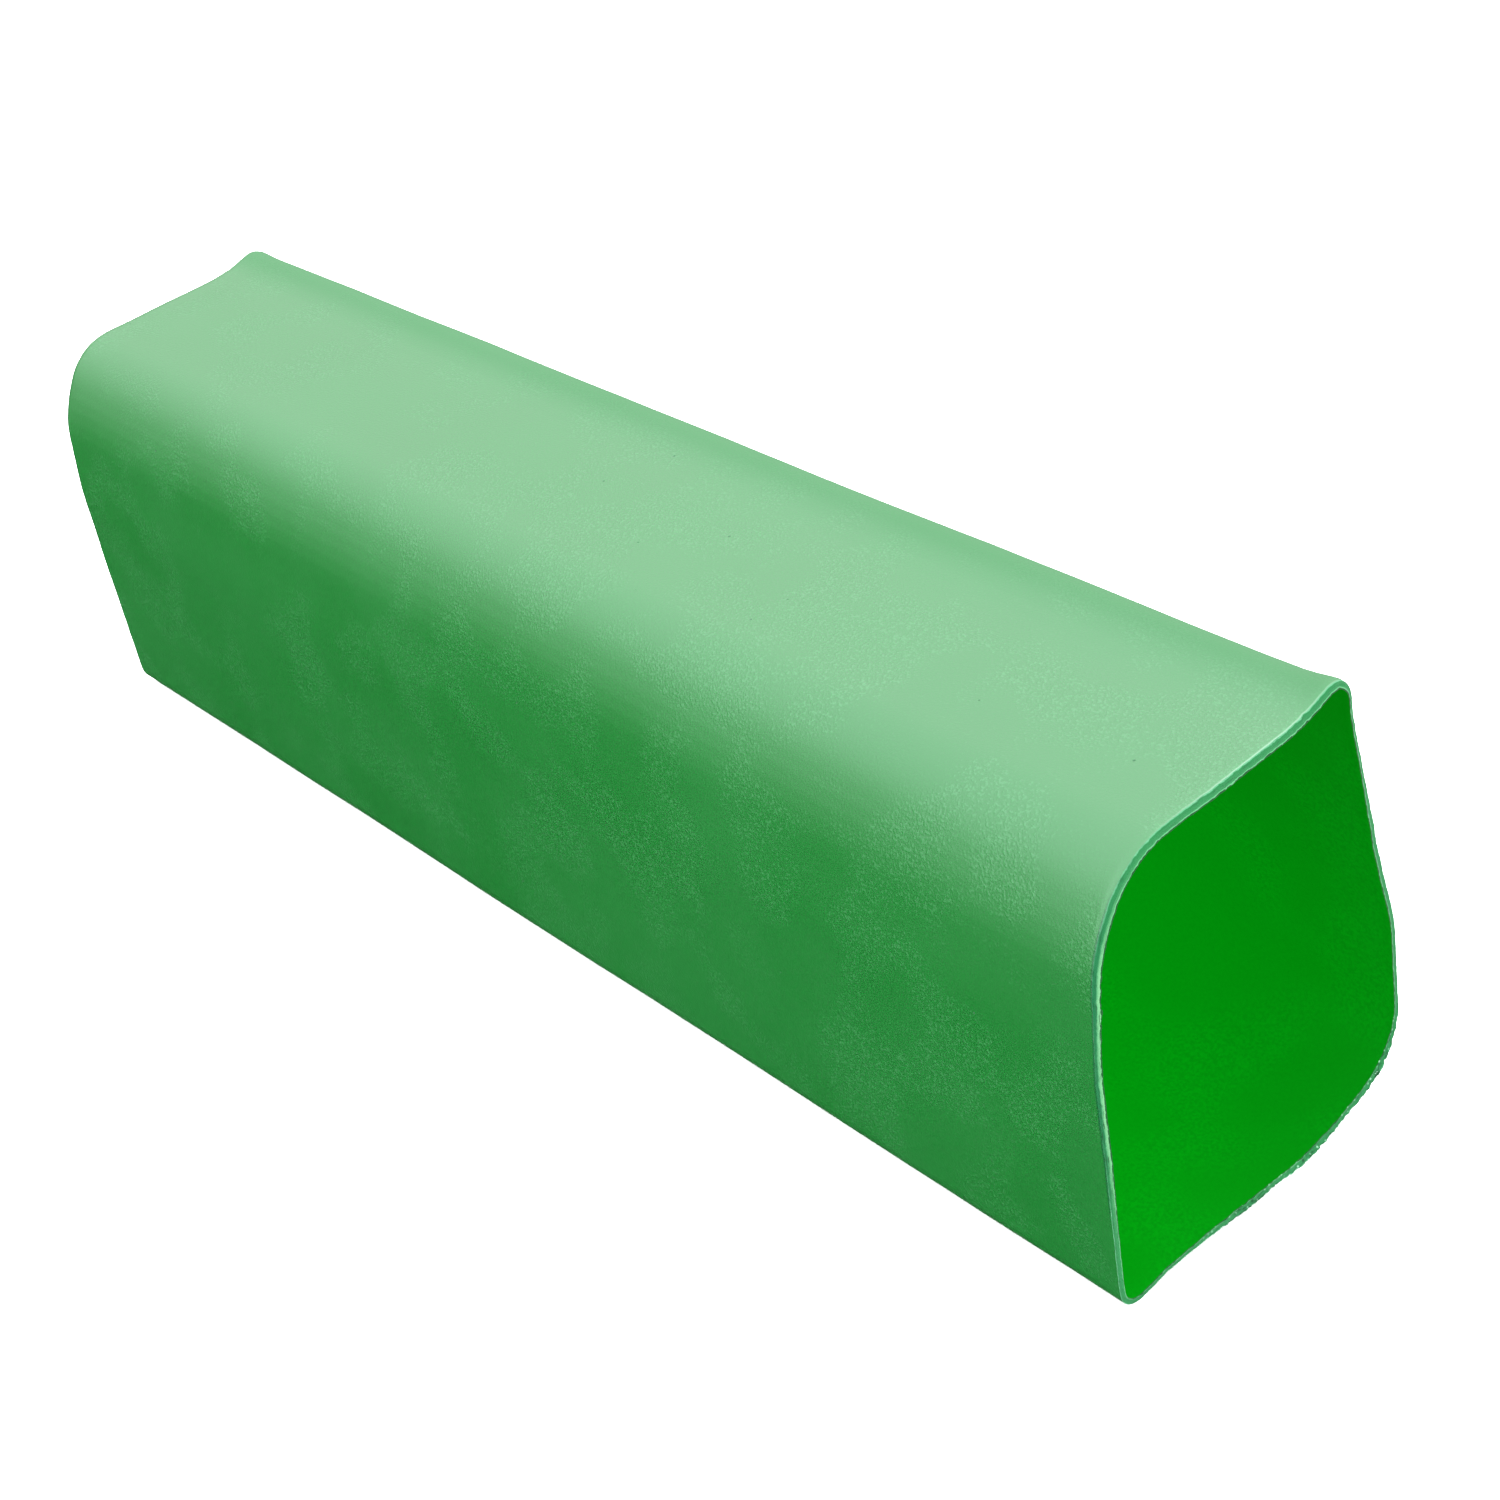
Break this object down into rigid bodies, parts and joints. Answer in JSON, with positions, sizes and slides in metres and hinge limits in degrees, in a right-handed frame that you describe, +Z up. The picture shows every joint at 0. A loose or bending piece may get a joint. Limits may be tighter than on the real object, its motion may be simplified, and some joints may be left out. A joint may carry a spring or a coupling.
{
  "type": "heat-shrink tube",
  "caption": "Cut length of thin-walled heat-shrink tubing, opened from flat, with two sharp lengthwise folds and two soft corners; slides over cables and shrinks tight when heated.",
  "frame": {"origin": "under the middle of the tube, on the surface that it lies on", "axes": "+X along the tube towards the end whose bottom fold is on the -Y side, +Y to the side of the top fold, +Z up"},
  "size_m": [0.1778, 0.0408, 0.0509],
  "materials": {
    "tubing": "semi-matte, fine orange-peel skin"
  },
  "bodies": {
    "root": {"tube": "tubing"}
  },
  "joints": []
}
